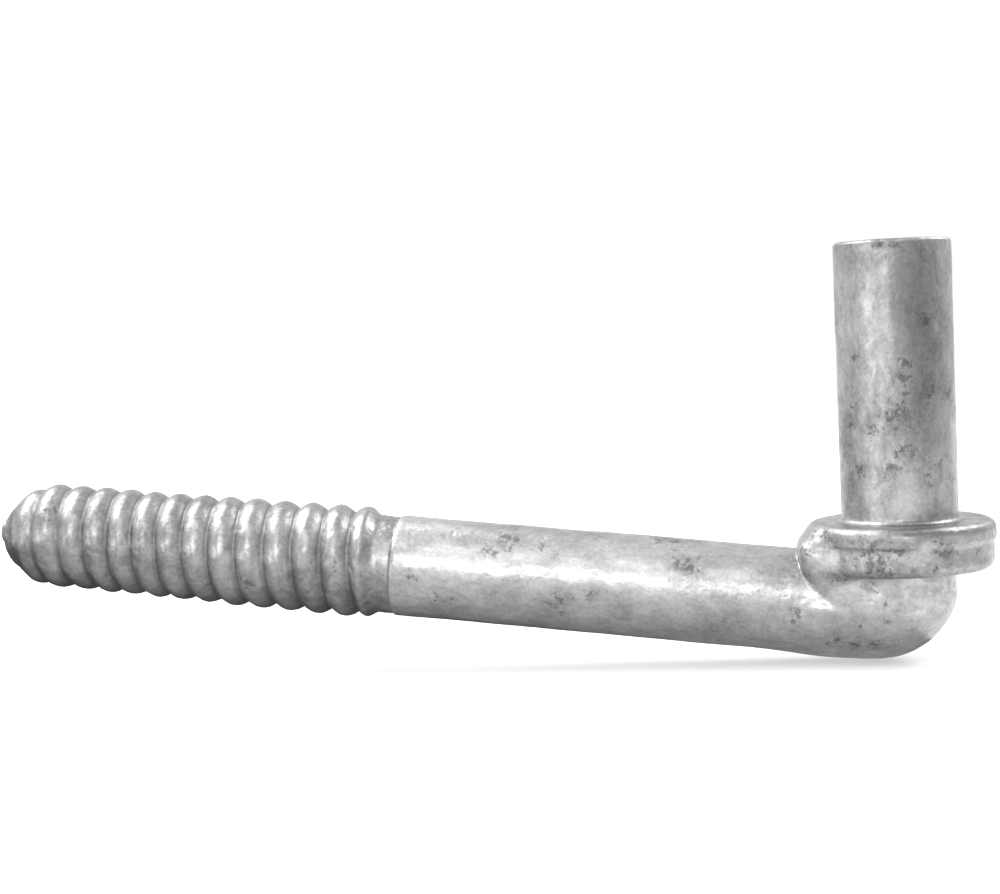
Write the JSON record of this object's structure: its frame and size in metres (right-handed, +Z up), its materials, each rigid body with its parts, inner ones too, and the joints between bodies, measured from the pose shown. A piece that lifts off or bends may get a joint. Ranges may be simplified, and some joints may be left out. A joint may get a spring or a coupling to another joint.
{
  "type": "lag screw hinge",
  "caption": "Forged galvanised gate hinge pintle: an upright pin over a round collar, bent to a plain shank that ends in a right-hand lag thread with a blunt tip.",
  "frame": {"origin": "where the axis of the upright pin meets the top of the collar", "axes": "+Z up the pin, with the shank leaving the elbow towards -X and rising a few degrees"},
  "size_m": [0.1448, 0.0258, 0.0584],
  "materials": {
    "zinc_thread": "hot dip galvanised over a rolled thread, satin, uneven",
    "zinc_shank": "hot dip galvanised over a forged bar, satin, mottled and pitted",
    "zinc_pin": "hot dip galvanised round bar, satin, mottled"
  },
  "bodies": {
    "root": {"lag_thread": "zinc_thread", "shank_elbow": "zinc_shank", "collar": "zinc_shank", "gate_pin": "zinc_pin"}
  },
  "joints": []
}
